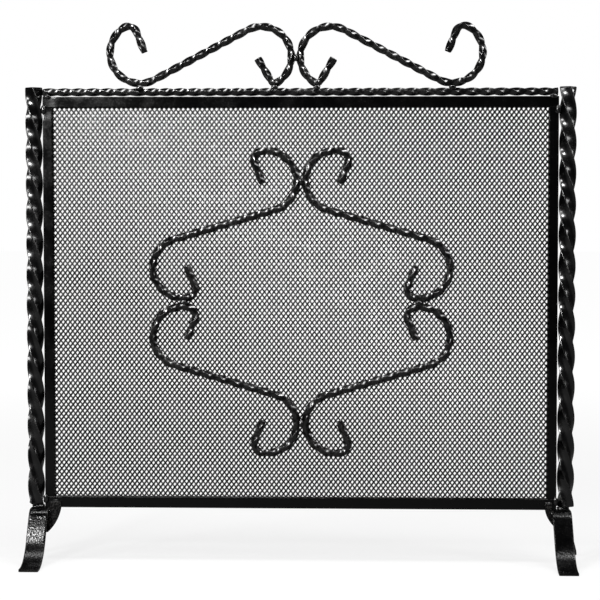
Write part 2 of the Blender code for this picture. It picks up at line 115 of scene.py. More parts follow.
def wander(values: np.ndarray, wave: float, seed: float) -> np.ndarray:
    """A smooth hand-made unevenness between -1 and 1: a sum of sines whose waves don't match.

    Args:
        values: Lengths along a piece, in metres.
        wave: The longest of the waves, in metres.
        seed: A number that shifts the sines, so that no two pieces are alike.

    Returns:
        One value for each length.
    """
    base = 2 * math.pi * values / wave
    total = sum(
        size * np.sin(times * base + shift * seed + start)
        for times, size, shift, start in UNEVEN_WAVES
    )
    return total / sum(size for _, size, _, _ in UNEVEN_WAVES)


def ring_quads(rings: int, sides: int) -> np.ndarray:
    """Quads between rings of points.

    Each joins a point, the next one in its ring, and the same two one ring on.

    Args:
        rings: How many rings there are.
        sides: How many points each ring has.

    Returns:
        An array of four point numbers a row.
    """
    ring = np.arange(rings - 1)[:, None] * sides
    side = np.arange(sides)[None, :]
    after = (side + 1) % sides
    here, there = (ring + side, ring + after), (ring + sides + after, ring + sides + side)
    return np.stack([*here, *there], axis=-1).reshape(-1, 4)


def grey(value: float) -> tuple[float, float, float, float]:
    """A grey with the same value in each channel."""
    return (value, value, value, 1.0)


def closed_loft(rings: int, sides: int) -> list:
    """Faces of a closed bar: quads between its rings, and one face over each end.

    Args:
        rings: How many rings there are.
        sides: How many points each ring has.

    Returns:
        Lists of point numbers.
    """
    faces = ring_quads(rings, sides).tolist()
    faces.append(list(range(sides)))
    faces.append(list(range((rings - 1) * sides, rings * sides)))
    return faces


@dataclass
class SubAssembly:
    """Pieces that are built together and share one paint.

    Attributes:
        pieces: The objects made so far.
    """

    pieces: list[bpy.types.Object] = field(default_factory=list, kw_only=True)

    def dress(self, paint: bpy.types.Material) -> None:
        """Paints every piece.

        Args:
            paint: The material that the pieces get.
        """
        for piece in self.pieces:
            piece.data.materials.append(paint)

    def add(
        self,
        name: str,
        surface: tuple[np.ndarray, list, np.ndarray],
        nodes: tuple[str, ...],
        slot: Slot = Slot.IRON,
        sharp_degrees: float = BAR_SHARP_DEGREES,
    ) -> bpy.types.Object:
        """Puts a closed mesh into the scene, in place of nodes of the frame.

        Args:
            name: The piece's name.
            surface: A row of X, Y and Z for each point, the faces as lists of point numbers, and how
                near each point is to a worn edge, from 0 to 1.
            nodes: The nodes that it stands for.
            slot: The material slot meant for the piece. Not used.
            sharp_degrees: Faces that meet at more than this keep a sharp edge.

        Returns:
            The new object.
        """
        points, faces, edge = surface
        mesh = bpy.data.meshes.new(name)
        mesh.from_pydata(points.tolist(), [], faces)
        worn = mesh.attributes.new("edge", "FLOAT", "POINT")
        worn.data.foreach_set("value", edge.astype(np.float32))
        shape = bmesh.new()
        shape.from_mesh(mesh)
        bmesh.ops.recalc_face_normals(shape, faces=shape.faces)
        shape.to_mesh(mesh)
        shape.free()
        mesh.shade_smooth()
        mesh.set_sharp_from_angle(angle=math.radians(sharp_degrees))
        piece = bpy.data.objects.new(name, mesh)
        bpy.context.scene.collection.objects.link(piece)
        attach(piece, ROOT)
        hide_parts(*nodes)
        self.pieces.append(piece)
        return piece


# ---------------------------------------------------------------- sections and lines


@dataclass(frozen=True)
class Section:
    """A closed outline across a bar: its points, and how near each is to a corner."""

    points: np.ndarray
    edge: np.ndarray

    @staticmethod
    def rounded_box(
        width: float, depth: float, radius: float, arc: int, flat: int, margin: float = 0.07
    ) -> "Section":
        """A rectangle with quarter circles for corners.

        Each corner's points are its centre plus the radius times the cosine and sine of angles over
        a quarter turn. Where a flat has two points or more, the first and the last are close to its
        corners, which keeps it flat when it is shaded.

        Args:
            width: Size along the section's first axis.
            depth: Size along its second axis.
            radius: Corner radius.
            arc: Points in each corner.
            flat: Points along each flat, its ends not counted.
            margin: Share of the flat between a corner and the flat's first point.

        Returns:
            The section, in metres.
        """
        turn = np.linspace(0.0, math.pi / 2, arc)
        corners = []
        for quarter, (sx, sy) in enumerate(((1, 1), (-1, 1), (-1, -1), (1, -1))):
            angle = turn + quarter * math.pi / 2
            x = sx * (width / 2 - radius) + radius * np.cos(angle)
            y = sy * (depth / 2 - radius) + radius * np.sin(angle)
            corners.append(np.stack([x, y], axis=1))
        points, edge = [], []
        least = 0.6
        bulge = least + (1.0 - least) * np.sin(np.linspace(0.0, math.pi, arc))
        share = np.linspace(margin, 1.0 - margin, flat)
        for quarter in range(4):
            start, end = corners[quarter][-1], corners[(quarter + 1) % 4][0]
            points.append(corners[quarter])
            points.append(start + share[:, None] * (end - start))
            edge.append(bulge)
            edge.append(np.zeros(flat))
        return Section(np.concatenate(points), np.concatenate(edge))


@dataclass(frozen=True)
class Line:
    """The middle line of a bar that lies in an upright plane.

    Attributes:
        x: X of each place along the line.
        z: Z of each place.
        heading: Angle of the line above the X axis, in radians.
        length: Length of bar up to each place.
    """

    x: np.ndarray
    z: np.ndarray
    heading: np.ndarray
    length: np.ndarray

    @staticmethod
    def straight(x: float, z: float, axis: Axis, length: float, step: float) -> "Line":
        """A straight line from a place, along X or Z, in even steps."""
        count = max(2, math.ceil(length / step) + 1)
        along = np.linspace(0.0, length, count)
        still = np.zeros(count)
        if axis is Axis.X:
            return Line(x + along, z + still, still, along)
        return Line(x + still, z + along, still + math.pi / 2, along)

    def moved(self, x: float, z: float) -> "Line":
        """The line shifted by x and z."""
        return Line(self.x + x, self.z + z, self.heading, self.length)

    def mirrored_x(self) -> "Line":
        """The line mirrored left to right."""
        return Line(-self.x, self.z, math.pi - self.heading, self.length)

    def mirrored_z(self) -> "Line":
        """The line mirrored top to bottom."""
        return Line(self.x, -self.z, -self.heading, self.length)


@dataclass(frozen=True)
class Sweep:
    """A section carried along a line, turning as it goes.

    Attributes:
        section: The outline across the bar.
        twist_pitch: Length of bar for one full turn. Negative twists the other way, None not at all.
        start: Angle of the section at the start, in radians.
        y: Depth of the middle line.
        chamfer: Length of bar over which each end narrows.
        uneven: How far the twist strays from an even one, in radians.
        seed: Shifts the unevenness.
        uneven_wave: Longest wave of the unevenness.
    """

    section: Section
    twist_pitch: float | None
    start: float
    y: float
    chamfer: float = 0.0006
    uneven: float = 0.0
    seed: float = 0.0
    uneven_wave: float = 0.23

    def surface(self, line: Line) -> tuple[np.ndarray, list, np.ndarray]:
        """Points and faces of the bar.

        A point is the place on the line, plus the section's first size across the line, plus its
        second size towards the front, after the section has turned by the angle that the twist has
        reached there.

        Args:
            line: The middle line.

        Returns:
            Points, faces, and the nearness of each point to a worn edge.
        """
        whole = line.length[-1]
        inner = line.length[(line.length > self.chamfer) & (line.length < whole - self.chamfer)]
        length = np.concatenate([(0.0, self.chamfer), inner, (whole - self.chamfer, whole)])
        shrink = np.ones(len(length))
        shrink[[0, -1]] = 1.0 - self.chamfer / np.abs(self.section.points).max()
        x = np.interp(length, line.length, line.x)
        z = np.interp(length, line.length, line.z)
        heading = np.interp(length, line.length, line.heading)
        turn = np.full(len(length), self.start)
        if self.twist_pitch is not None:
            turn = turn + 2 * math.pi * length / self.twist_pitch
            turn = turn + self.uneven * wander(length, self.uneven_wave, self.seed)
        outline = self.section.points
        u = np.cos(turn)[:, None] * outline[:, 0] - np.sin(turn)[:, None] * outline[:, 1]
        v = np.sin(turn)[:, None] * outline[:, 0] + np.cos(turn)[:, None] * outline[:, 1]
        u, v = u * shrink[:, None], v * shrink[:, None]
        points = np.stack(
            [
                x[:, None] - np.sin(heading)[:, None] * u,
                self.y - v,
                z[:, None] + np.cos(heading)[:, None] * u,
            ],
            axis=-1,
        )
        faces = closed_loft(len(length), len(outline))
        return points.reshape(-1, 3), faces, np.tile(self.section.edge, len(length))


# ---------------------------------------------------------------- finishes


class NodeSheet:
    """Short ways to lay out shader nodes in one tree."""

    def __init__(self, tree: bpy.types.NodeTree) -> None:
        """Keeps the tree that nodes are added to."""
        self.tree = tree

    def add(self, kind: str, **settings: object) -> bpy.types.Node:
        """A new node, with its settings applied."""
        node = self.tree.nodes.new(kind)
        for name, value in settings.items():
            setattr(node, name, value)
        return node

    def wire(self, source: bpy.types.NodeSocket, target: bpy.types.NodeSocket) -> None:
        """Joins an output to an input."""
        self.tree.links.new(source, target)

    def maths(self, operation: str, first: object, second: object) -> bpy.types.NodeSocket:
        """A Math node on two values or sockets.

        Args:
            operation: The node's operation.
            first: A number, or the socket it comes from.
            second: The same for the second value.

        Returns:
            The output socket.
        """
        node = self.add("ShaderNodeMath", operation=operation)
        for socket, value in zip(node.inputs, (first, second)):
            if isinstance(value, bpy.types.NodeSocket):
                self.wire(value, socket)
            else:
                socket.default_value = value
        return node.outputs[0]

    def spread(
        self, value: bpy.types.NodeSocket, low: float, high: float, out_low: float, out_high: float
    ) -> bpy.types.NodeSocket:
        """A Map Range node, smooth and clamped.

        Args:
            value: The socket that is mapped.
            low: The value that becomes out_low.
            high: The value that becomes out_high.
            out_low: Result at low and below.
            out_high: Result at high and above.

        Returns:
            The output socket.
        """
        node = self.add("ShaderNodeMapRange", interpolation_type="SMOOTHSTEP")
        self.wire(value, node.inputs["Value"])
        span = {"From Min": low, "From Max": high, "To Min": out_low, "To Max": out_high}
        for name, number in span.items():
            node.inputs[name].default_value = number
        return node.outputs["Result"]

    def blend(self, mask: bpy.types.NodeSocket, first: object, second: object) -> bpy.types.NodeSocket:
        """A colour mix of two colours or sockets by a mask."""
        node = self.add("ShaderNodeMix", data_type="RGBA")
        self.wire(mask, node.inputs["Factor"])
        colours = [socket for socket in node.inputs if socket.type == "RGBA"]
        for socket, value in zip(colours, (first, second)):
            if isinstance(value, bpy.types.NodeSocket):
                self.wire(value, socket)
            else:
                socket.default_value = value
        return next(socket for socket in node.outputs if socket.type == "RGBA")

    def mix(
        self,
        factor: bpy.types.NodeSocket,
        first: bpy.types.NodeSocket,
        second: bpy.types.NodeSocket,
    ) -> bpy.types.NodeSocket:
        """A Mix Shader node that goes from the first shader to the second with the factor."""
        node = self.add("ShaderNodeMixShader")
        for number, socket in enumerate((factor, first, second)):
            self.wire(socket, node.inputs[number])
        return node.outputs["Shader"]

    def noise(self, place: bpy.types.NodeSocket, scale: float, detail: float) -> bpy.types.NodeSocket:
        """A Noise Texture's value at a place, with its scale per metre."""
        node = self.add("ShaderNodeTexNoise", noise_dimensions="3D")
        node.inputs["Scale"].default_value = scale
        node.inputs["Detail"].default_value = detail
        self.wire(place, node.inputs["Vector"])
        return node.outputs["Fac"]


@dataclass(frozen=True)
class PaintPattern:
    """The patterns in thick black paint over hammered iron. Scales are per metre.

    Attributes:
        dent_softness: How much neighbouring hammer dents run into each other.
        dent_share: Height of the dents, as a share of the relief.
        peel_scale: Scale of the paint's orange peel.
        peel_share: Its height.
        ripple_scale: Scale of the brush ripple.
        ripple_share: Its height.
        patch_scale: Scale of the patches that are more or less worn.
        scuff_scale: Scale of the scuffs on the edges.
        cloud_share: How much of the worn colour shows through on whole paint.
        rubbed_roughness: Roughness added where the paint is rubbed.
    """

    dent_softness: float = 0.7
    dent_share: float = 0.65
    peel_scale: float = 900.0
    peel_share: float = 0.18
    ripple_scale: float = 160.0
    ripple_share: float = 0.55
    patch_scale: float = 38.0
    scuff_scale: float = 420.0
    cloud_share: float = 0.01
    rubbed_roughness: float = 0.12

    def sockets(self, group: bpy.types.NodeTree) -> None:
        vector, number, colour = "NodeSocketVector", "NodeSocketFloat", "NodeSocketColor"
        inputs = {
            "Position": vector,
            "Edge": number,
            "Cells": number,
            "Base": colour,
            "Worn": colour,
            "Roughness": number,
            "Wear": number,
        }
        outputs = {"Colour": colour, "Roughness": number, "Height": number}
        for way, sockets in (("INPUT", inputs), ("OUTPUT", outputs)):
            for name, kind in sockets.items():
                group.interface.new_socket(name=name, in_out=way, socket_type=kind)

    def group(self) -> bpy.types.NodeTree:
        """The patterns as a shader node group.

        Inputs: Position, Edge, Cells (dents per metre), Base, Worn, Roughness, Wear.
        Outputs: Colour, Roughness, Height (dents, ripple and orange peel, from 0 to about 1).

        Returns:
            The node group.
        """
        group = bpy.data.node_groups.new("hammered_paint", "ShaderNodeTree")
        self.sockets(group)
        sheet = NodeSheet(group)
        given = sheet.add("NodeGroupInput").outputs
        result = sheet.add("NodeGroupOutput").inputs

        dents = sheet.add("ShaderNodeTexVoronoi", feature="SMOOTH_F1")
        dents.inputs["Smoothness"].default_value = self.dent_softness
        sheet.wire(given["Position"], dents.inputs["Vector"])
        sheet.wire(given["Cells"], dents.inputs["Scale"])
        peel = sheet.noise(given["Position"], self.peel_scale, 2.0)
        ripple = sheet.noise(given["Position"], self.ripple_scale, 2.0)
        patches = sheet.noise(given["Position"], self.patch_scale, 3.0)
        scuffs = sheet.noise(given["Position"], self.scuff_scale, 4.0)

        height = sheet.maths("MULTIPLY", dents.outputs["Distance"], self.dent_share)
        height = sheet.maths("ADD", height, sheet.maths("MULTIPLY", peel, self.peel_share))
        height = sheet.maths("ADD", height, sheet.maths("MULTIPLY", ripple, self.ripple_share))
        sheet.wire(height, result["Height"])

        rubbed = sheet.maths("MULTIPLY", given["Edge"], sheet.spread(scuffs, 0.46, 0.62, 0.0, 1.0))
        rubbed = sheet.maths("MULTIPLY", rubbed, sheet.spread(patches, 0.40, 0.62, 0.15, 1.0))
        rubbed = sheet.maths("MULTIPLY", rubbed, given["Wear"])
        cloudy = sheet.maths("MULTIPLY", sheet.spread(patches, 0.35, 0.70, 0.0, 1.0), self.cloud_share)
        mask = sheet.maths("MINIMUM", sheet.maths("ADD", rubbed, cloudy), 1.0)
        sheet.wire(sheet.blend(mask, given["Base"], given["Worn"]), result["Colour"])

        rough = sheet.maths("ADD", given["Roughness"], sheet.spread(patches, 0.3, 0.7, -0.06, 0.09))
        rough = sheet.maths("ADD", rough, sheet.spread(scuffs, 0.45, 0.75, -0.02, 0.08))
        rough = sheet.maths("ADD", rough, sheet.maths("MULTIPLY", rubbed, self.rubbed_roughness))
        sheet.wire(rough, result["Roughness"])
        return group


@dataclass(frozen=True)
class PaintFinish:
    """Glossy black paint over iron.

    Attributes:
        name: The material's name.
        base: Colour of whole paint.
        worn: Colour where the paint is thin or dusty.
        roughness: Roughness of whole paint.
        cells: Hammer dents per metre.
        relief: Height of the dents, in metres.
        wear: How much paint is rubbed off the edges, from 0 to 1.
        gloss: Weight of the clear top coat.
        shine: Strength of the reflections of the paint itself.
        coat_roughness: Roughness of the top coat.
    """

    name: str
    base: tuple[float, float, float, float]
    worn: tuple[float, float, float, float]
    roughness: float
    cells: float
    relief: float
    wear: float
    gloss: float
    shine: float = 0.5
    coat_roughness: float = 0.18

    def material(self, group: bpy.types.NodeTree) -> bpy.types.Material:
        """The finish as a material.

        Args:
            group: The hammered paint group.

        Returns:
            A material with one Principled shader fed by the group.
        """
        material = bpy.data.materials.new(self.name)
        material.use_nodes = True
        sheet = NodeSheet(material.node_tree)
        shader = material.node_tree.nodes["Principled BSDF"]
        place = sheet.add("ShaderNodeTexCoord").outputs["Object"]
        edge = sheet.add("ShaderNodeAttribute", attribute_name="edge").outputs["Fac"]
        paint = sheet.add("ShaderNodeGroup", node_tree=group)
        sheet.wire(place, paint.inputs["Position"])
        sheet.wire(edge, paint.inputs["Edge"])
        paint.inputs["Cells"].default_value = self.cells
        paint.inputs["Base"].default_value = self.base
        paint.inputs["Worn"].default_value = self.worn
        paint.inputs["Roughness"].default_value = self.roughness
        paint.inputs["Wear"].default_value = self.wear
        bump = sheet.add("ShaderNodeBump")
        bump.inputs["Strength"].default_value = 1.0
        bump.inputs["Distance"].default_value = self.relief
        sheet.wire(paint.outputs["Height"], bump.inputs["Height"])
        sheet.wire(bump.outputs["Normal"], shader.inputs["Normal"])
        sheet.wire(paint.outputs["Colour"], shader.inputs["Base Color"])
        sheet.wire(paint.outputs["Roughness"], shader.inputs["Roughness"])
        shader.inputs["Coat Weight"].default_value = self.gloss
        shader.inputs["Coat Roughness"].default_value = self.coat_roughness
        shader.inputs["Specular IOR Level"].default_value = self.shine
        return material


class Finishes:
    """The paint of each kind of piece."""

    def __init__(self) -> None:
        """Makes the shared group and the materials."""
        group = PaintPattern().group()
        black = (0.0008, 0.0008, 0.0009, 1.0)
        worn = (0.040, 0.038, 0.036, 1.0)
        dusty = grey(0.020)
        post = PaintFinish(
            "post_paint", black, worn,
            roughness=0.19, cells=210.0, relief=0.00008, wear=0.8, gloss=0.4,
        )
        rod = PaintFinish(
            "rod_paint", black, worn,
            roughness=0.20, cells=330.0, relief=0.00004, wear=0.6, gloss=0.5,
        )
        flat = PaintFinish(
            "flat_bar_paint", black, worn,
            roughness=0.15, cells=260.0, relief=0.00003, wear=0.5, gloss=0.1, shine=0.2,
        )
        foot = PaintFinish(
            "foot_paint", black, worn,
            roughness=0.20, cells=420.0, relief=0.00026, wear=0.8, gloss=0.0, shine=0.22,
        )
        weld = PaintFinish(
            "weld_paint", black, worn,
            roughness=0.22, cells=480.0, relief=0.00014, wear=0.6, gloss=0.6,
        )
        wire = PaintFinish(
            "wire_paint", black, dusty,
            roughness=0.26, cells=900.0, relief=0.00002, wear=0.1, gloss=0.0,
        )
        self.posts = post.material(group)
        self.rods = rod.material(group)
        self.flats = flat.material(group)
        self.feet = foot.material(group)
        self.welds = weld.material(group)
        self.wire = wire.material(group)


# ---------------------------------------------------------------- twisted bars


@dataclass
class Posts(SubAssembly):
    """Two square bars twisted over their full length.

    Attributes:
        side: Width of the bar's faces.
        corner: Radius of its rubbed corners.
        twist_pitch: Length of one full turn of the left-handed twist.
        start_degrees: Turn of each bar at its foot.
        step: Spacing of the rings.
        end_chamfer: Length of bar over which each end narrows.
        uneven: How far the twist strays from an even one, in radians.
    """

    side: float = 0.0168
    corner: float = 0.00125
    twist_pitch: float = -0.160
    start_degrees: dict[Side, float] = field(
        default_factory=lambda: {Side.LEFT: 23.0, Side.RIGHT: 35.0}
    )
    step: float = 0.0024
    end_chamfer: float = 0.0008
    uneven: float = 0.05

    def build(self) -> None:
        """One sweep for each post, from the foot of its node's box to the top."""
        section = Section.rounded_box(self.side, self.side, self.corner, arc=4, flat=3)
        for side in Side:
            node = f"post_{side.word}"
            low, high = node_box(node)
            centre = node_centre(node)
            line = Line.straight(centre[0], low[2], Axis.Z, high[2] - low[2], self.step)
            start = math.radians(self.start_degrees[side])
            sweep = Sweep(
                section,
                twist_pitch=self.twist_pitch,
                start=start,
                y=centre[1],
                chamfer=self.end_chamfer,
                uneven=self.uneven,
                seed=side.value,
            )
            self.add(f"twisted_post_{side.word}", sweep.surface(line), (node,))


@dataclass(frozen=True)
class ScrollJig:
    """The jig that every scroll is bent on.

    Half an S is half a straight, a bow, a hook and a straight tail.

    Attributes:
        straight: Length of the whole straight in the middle of the S.
        bow_radius: Radius of the bow's middle line.
        bow_degrees: Turn of the bow.
        hook_radius: Radius of the hook's middle line.
        hook_degrees: Turn of the hook.
        tail: Length of the tail.
        step: Spacing of the rings.
    """

    straight: float = 0.1390
    bow_radius: float = 0.0395
    bow_degrees: float = 175.0
    hook_radius: float = 0.0115
    hook_degrees: float = 101.0
    tail: float = 0.029
    step: float = 0.0016

    def half(self) -> Line:
        """Half an S from the middle of its straight, starting along +X and turning left.

        The heading grows evenly with length on each bend. Each short chord is its arc's length times
        the sine of half its turn over half its turn, along the heading at the arc's middle.

        Returns:
            The half's line, from the middle of the S to the end of its tail.
        """
        bow = math.radians(self.bow_degrees)
        hook = math.radians(self.hook_degrees)
        spans = (self.straight / 2, self.bow_radius * bow, self.hook_radius * hook, self.tail)
        knots = np.concatenate([[0.0], np.cumsum(spans)])
        turned = np.array((0.0, 0.0, bow, bow + hook, bow + hook))
        count = math.ceil(knots[-1] / self.step)
        length = np.unique(np.concatenate([np.linspace(0.0, knots[-1], count), knots]))
        heading = np.interp(length, knots, turned)
        half_turn = np.diff(heading) / 2
        chord = np.diff(length) * np.sinc(half_turn / math.pi)
        middle = heading[:-1] + half_turn
        x = np.concatenate([[0.0], np.cumsum(chord * np.cos(middle))])
        z = np.concatenate([[0.0], np.cumsum(chord * np.sin(middle))])
        return Line(x, z, heading, length)


def whole_scroll(first: Line, second: Line, slope: float) -> Line:
    """An S at a slope: the second half is turned half round and run backwards before the first.

    Args:
        first: The half that ends the S.
        second: The half that starts it.
        slope: Angle of the straight above the X axis, in radians.

    Returns:
        The whole line, with its length counted from its start.
    """
    x = np.concatenate([-second.x[:0:-1], first.x])
    z = np.concatenate([-second.z[:0:-1], first.z])
    heading = np.concatenate([second.heading[:0:-1], first.heading])
    length = np.concatenate([-second.length[:0:-1], first.length])
    cos, sin = math.cos(slope), math.sin(slope)
    return Line(x * cos - z * sin, x * sin + z * cos, heading + slope, length - length[0])


@dataclass
class ThinBar:
    """Thin square bar with an even right-handed twist: the stock of the rod and the scrolls.

    Attributes:
        side: Width of the bar's faces.
        corner: Radius of its corners.
        twist_pitch: Length of one full turn.
        play: Play between bars that touch.
        end_chamfer: Length of bar over which each end narrows.
        uneven: How far the twist strays from an even one, in radians.
    """

    side: float = 0.0080
    corner: float = 0.0007
    twist_pitch: float = 0.0765
    play: float = 0.0003
    end_chamfer: float = 0.0005
    uneven: float = 0.16

    @property
    def touching(self) -> float:
        """Distance between the middle lines of two bars whose twists touch."""
        return self.side * math.sqrt(2) + self.play

    def sweep(self, y: float, seed: float) -> Sweep:
        """The twist at a depth, with its own unevenness."""
        section = Section.rounded_box(self.side, self.side, self.corner, arc=3, flat=1, margin=0.5)
        return Sweep(section, self.twist_pitch, 0.0, y, self.end_chamfer, self.uneven, seed)


@dataclass
class TopRod(SubAssembly):
    """The twisted rod along the top rail.

    Attributes:
        stock: The bar it is cut from.
        step: Spacing of the rings.
        seed: Shifts the unevenness of its twist.
    """

    stock: ThinBar
    step: float = 0.0015
    seed: float = 0.4

    def build(self) -> None:
        """One sweep along X, as long as its node."""
        low, high = node_box("top_rod")
        centre = node_centre("top_rod")
        line = Line.straight(low[0], centre[2], Axis.X, high[0] - low[0], self.step)
        surface = self.stock.sweep(centre[1], self.seed).surface(line)
        self.add("twisted_top_rod", surface, ("top_rod",))


@dataclass
class Crest(SubAssembly):
    """Two scrolls that stand on the top rod and lean on each other.

    Attributes:
        stock: The bar they are bent from.
        outer: The jig for the outer halves.
        inner: The jig for the inner halves, whose hooks are tighter.
        seed: Shifts the unevenness of the twists.
        steepest_degrees: Upper end of the slopes that are tried.
        tries: How many times the range of slopes is halved.
    """

    stock: ThinBar
    outer: ScrollJig = ScrollJig()
    inner: ScrollJig = ScrollJig(hook_radius=0.0062, hook_degrees=92.0, tail=0.034)
    seed: float = 1.3
    steepest_degrees: float = 60.0
    tries: int = 40

    def left_line(self) -> Line:
        """The left scroll's line, at the slope where its outer bow and its inner hook rest level.

        The slope comes from halving an interval again and again on the difference between the two
        lowest places.

        Returns:
            The line, with its rightmost place half a bar left of x = 0 and its lowest at z = 0.
        """
        outer, inner = self.outer.half(), self.inner.half()
        low, high = 0.0, math.radians(self.steepest_degrees)
        for _ in range(self.tries):
            slope = (low + high) / 2
            line = whole_scroll(inner, outer, -slope).mirrored_z()
            is_left = line.x < line.x.mean()
            if line.z[~is_left].min() > line.z[is_left].min():
                high = slope
            else:
                low = slope
        line = whole_scroll(inner, outer, -low).mirrored_z()
        return line.moved(-line.x.max() - self.stock.touching / 2, -line.z.min())

    def build(self) -> None:
        """The left scroll, and its mirror image on the right, on top of the rod."""
        left_box, right_box = node_box("crest_scroll_left"), node_box("crest_scroll_right")
        centre_x = (left_box[1][0] + right_box[0][0]) / 2
        rod = node_centre("top_rod")
        base = rod[2] + self.stock.touching
        left = self.left_line()
        for side, line in ((Side.LEFT, left), (Side.RIGHT, left.mirrored_x())):
            node = f"crest_scroll_{side.word}"
            sweep = self.stock.sweep(rod[1], self.seed * side.value)
            self.add(f"twisted_{node}", sweep.surface(line.moved(centre_x, base)), (node,))


@dataclass
class Medallion(SubAssembly):
    """Four scrolls in front of the mesh, each a mirror image of its neighbours.

    Attributes:
        stock: The bar they are bent from.
        jig: The jig for both halves.
        slope_degrees: Slope of their straights.
        seed: Shifts the unevenness of the first scroll's twist.
    """

    stock: ThinBar
    jig: ScrollJig = ScrollJig()
    slope_degrees: float = 16.3
    seed: float = 2.1

    def build(self) -> None:
        """The upper left scroll and its three mirror images, meeting in the middle of their nodes."""
        half = self.jig.half()
        line = whole_scroll(half, half, math.radians(self.slope_degrees))
        gap = self.stock.touching / 2
        line = line.moved(-line.x.max() - gap, gap - line.z.min())
        upper_left = node_box("medallion_scroll_upper_left")
        upper_right = node_box("medallion_scroll_upper_right")
        lower_left = node_box("medallion_scroll_lower_left")
        centre_x = (upper_left[1][0] + upper_right[0][0]) / 2
        centre_z = (upper_left[0][2] + lower_left[1][2]) / 2
        quarters = {
            "upper_left": line,
            "upper_right": line.mirrored_x(),
            "lower_left": line.mirrored_z(),
            "lower_right": line.mirrored_x().mirrored_z(),
        }
        for number, (place, quarter) in enumerate(quarters.items()):
            node = f"medallion_scroll_{place}"
            sweep = self.stock.sweep(node_centre(node)[1], self.seed + number)
            surface = sweep.surface(quarter.moved(centre_x, centre_z))
            self.add(f"twisted_{node}", surface, (node,))


# ---------------------------------------------------------------- frame and mesh


@dataclass
class FlatBars(SubAssembly):
    """The flat bars of the frame, and the strips that clamp the mesh from behind.

    Attributes:
        corner: Radius of the rolled corners of the frame's bars.
        strip_corner: Radius of the strips' corners.
        step: Spacing of the rings.
        end_chamfer: Length of bar over which each end narrows.
        stile_stretch: How much further upright bars run at each end, to close the play at a joint.
    """

    corner: float = 0.0009
    strip_corner: float = 0.0005
    step: float = 0.02
    end_chamfer: float = 0.0004
    stile_stretch: float = 0.00028

    def bar(self, node: str, axis: Axis, corner: float, stretch: float) -> None:
        """A straight bar that fills a node's box.

        Args:
            node: The node it stands for.
            axis: The way it runs.
            corner: Radius of its long edges.
            stretch: How much further it runs at each end, to close the play at a joint.
        """
        low, high = node_box(node)
        centre = (low + high) / 2
        across = 2 if axis is Axis.X else 0
        width, depth = high[across] - low[across], high[1] - low[1]
        section = Section.rounded_box(width, depth, corner, arc=4, flat=2)
        length = high[axis.value] - low[axis.value] + 2 * stretch
        if axis is Axis.X:
            line = Line.straight(low[0] - stretch, centre[2], axis, length, self.step)
        else:
            line = Line.straight(centre[0], low[2] - stretch, axis, length, self.step)
        surface = Sweep(section, None, 0.0, centre[1], self.end_chamfer).surface(line)
        self.add(f"{node}_bar", surface, (node,))

    def build(self) -> None:
        """Rails along X and stiles along Z, in front of and behind the mesh."""
        for node in ("frame_top_rail", "frame_bottom_rail"):
            self.bar(node, Axis.X, self.corner, 0.0)
        for node in ("mesh_strip_top", "mesh_strip_bottom"):
            self.bar(node, Axis.X, self.strip_corner, 0.0)
        for side in Side:
            self.bar(f"frame_{side.word}_stile", Axis.Z, self.corner, self.stile_stretch)
            self.bar(f"mesh_strip_{side.word}", Axis.Z, self.strip_corner, self.stile_stretch)


